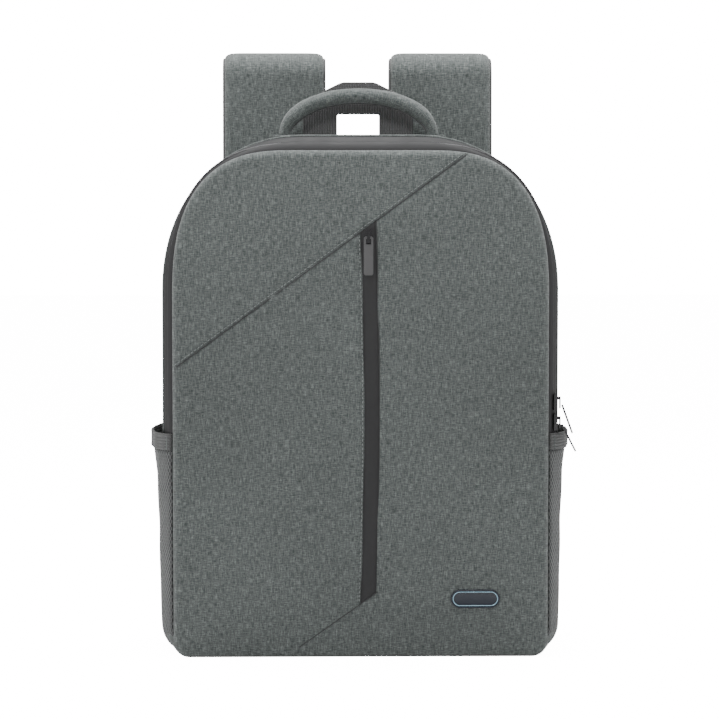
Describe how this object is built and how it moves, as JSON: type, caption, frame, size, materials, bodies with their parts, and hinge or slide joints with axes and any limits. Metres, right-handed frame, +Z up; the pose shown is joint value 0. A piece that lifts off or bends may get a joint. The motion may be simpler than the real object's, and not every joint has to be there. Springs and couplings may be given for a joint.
{
  "type": "soft laptop backpack",
  "caption": "Soft laptop backpack with an arched fold-down front, slanted seam, vertical pocket zip, net side pockets, carry handle and padded straps.",
  "frame": {"origin": "middle of the base on the floor", "axes": "+Z up, the front faces -Y, +X to the right when the front is looked at"},
  "size_m": [0.3421, 0.1954, 0.49],
  "materials": {
    "heather_cloth": "heather woven polyester",
    "air_mesh": "spacer air mesh",
    "lining_cloth": "plain nylon lining",
    "pocket_net": "open knit net",
    "edge_binding": "ribbed elastic binding",
    "zip_tape": "smooth coated tape",
    "zip_coil": "nylon coil",
    "board": "stiff board",
    "badge_plastic": "moulded, plain capsule with a pale outline",
    "zip_metal": "black, satin",
    "puller_rubber": "soft moulded",
    "webbing": "ribbed webbing",
    "lock_plastic": "moulded"
  },
  "bodies": {
    "pack": {"gusset": "heather_cloth", "lining": "lining_cloth", "back_panel": "air_mesh", "back_pad_left": "air_mesh", "back_pad_right": "air_mesh", "lumbar_pad": "air_mesh", "base_board": "board", "laptop_divider": "lining_cloth", "front_panel_lower": "heather_cloth", "pocket_strip_lower": "zip_tape", "pocket_coil_lower": "zip_coil", "pocket_lining_lower": "lining_cloth", "badge": "badge_plastic", "rear_zip_tape": "zip_tape", "rear_zip_coil": "zip_coil", "zip_end_left": "heather_cloth", "zip_end_right": "heather_cloth", "side_net_left": "pocket_net", "side_net_right": "pocket_net", "net_binding_left": "edge_binding", "net_binding_right": "edge_binding", "shoulder_yoke": "heather_cloth", "strap_wing_left": "heather_cloth", "strap_wing_right": "heather_cloth", "strap_root_left": "heather_cloth", "strap_root_right": "heather_cloth"},
    "front_flap": {"front_panel_corner": "heather_cloth", "front_panel_upper": "heather_cloth", "flap_zip_tape": "zip_tape", "flap_zip_coil": "zip_coil", "pocket_strip_upper": "zip_tape", "pocket_coil_upper": "zip_coil", "pocket_lining_upper": "lining_cloth"},
    "handle": {"handle_cover": "heather_cloth", "handle_core": "lining_cloth"},
    "loop": {"hang_loop": "webbing"},
    "pocket_slider_body": {"pocket_slider": "zip_metal"},
    "pocket_puller_body": {"pocket_puller": "puller_rubber"},
    "zip_slider_upper_body": {"zip_slider_upper": "zip_metal"},
    "zip_puller_upper_body": {"zip_puller_upper": "zip_metal"},
    "zip_slider_lower_body": {"zip_slider_lower": "zip_metal"},
    "zip_puller_lower_body": {"zip_puller_lower": "zip_metal"},
    "strap_left": {"strap_pad_left": "heather_cloth", "strap_mesh_left": "air_mesh", "strap_binding_left": "edge_binding", "lock_tab_left": "webbing", "ladder_lock_left": "lock_plastic", "lower_webbing_left": "webbing"},
    "strap_right": {"strap_pad_right": "heather_cloth", "strap_mesh_right": "air_mesh", "strap_binding_right": "edge_binding", "lock_tab_right": "webbing", "ladder_lock_right": "lock_plastic", "lower_webbing_right": "webbing"}
  },
  "joints": [
    {"name": "front_flap_fold", "type": "hinge", "parent": "pack", "child": "front_flap", "pos_m": [0, -0.0665, 0.18], "axis": [1, 0, 0], "range_deg": [0, 75]},
    {"name": "pocket_slider_slide", "type": "slide", "parent": "front_flap", "child": "pocket_slider_body", "axis": [-0.0224, 0, 0.9997], "range_m": [-0.11, 0]},
    {"name": "pocket_puller_hinge", "type": "hinge", "parent": "pocket_slider_body", "child": "pocket_puller_body", "pos_m": [0.00592, -0.0698, 0.33845], "axis": [-1, 0, 0], "range_deg": [0, 110]},
    {"name": "zip_slider_upper_slide", "type": "slide", "parent": "pack", "child": "zip_slider_upper_body", "axis": [0, 0, 1], "range_m": [0, 0.08]},
    {"name": "zip_puller_upper_hinge", "type": "hinge", "parent": "zip_slider_upper_body", "child": "zip_puller_upper_body", "pos_m": [0.1613, -0.053, 0.203], "axis": [0, -1, 0], "range_deg": [0, 68]},
    {"name": "zip_slider_lower_slide", "type": "slide", "parent": "pack", "child": "zip_slider_lower_body", "axis": [0, 0, 1], "range_m": [0, 0.0025]},
    {"name": "zip_puller_lower_hinge", "type": "hinge", "parent": "zip_slider_lower_body", "child": "zip_puller_lower_body", "pos_m": [0.1613, -0.053, 0.187], "axis": [0, -1, 0], "range_deg": [-12, 5]},
    {"name": "carry_handle_hinge", "type": "hinge", "parent": "pack", "child": "handle", "pos_m": [0, 0.03, 0.4268], "axis": [1, 0, 0], "range_deg": [0, 70], "stiffness_Nm_per_rad": 0.05},
    {"name": "hang_loop_hinge", "type": "hinge", "parent": "pack", "child": "loop", "pos_m": [0, 0.053, 0.4204], "axis": [1, 0, 0], "range_deg": [0, 15], "stiffness_Nm_per_rad": 0.02},
    {"name": "strap_left_swing", "type": "hinge", "parent": "pack", "child": "strap_left", "pos_m": [-0.07, 0.09, 0.4905], "axis": [1, 0, 0], "range_deg": [0, 14]},
    {"name": "strap_right_swing", "type": "hinge", "parent": "pack", "child": "strap_right", "pos_m": [0.07, 0.09, 0.4905], "axis": [1, 0, 0], "range_deg": [0, 14]}
  ]
}
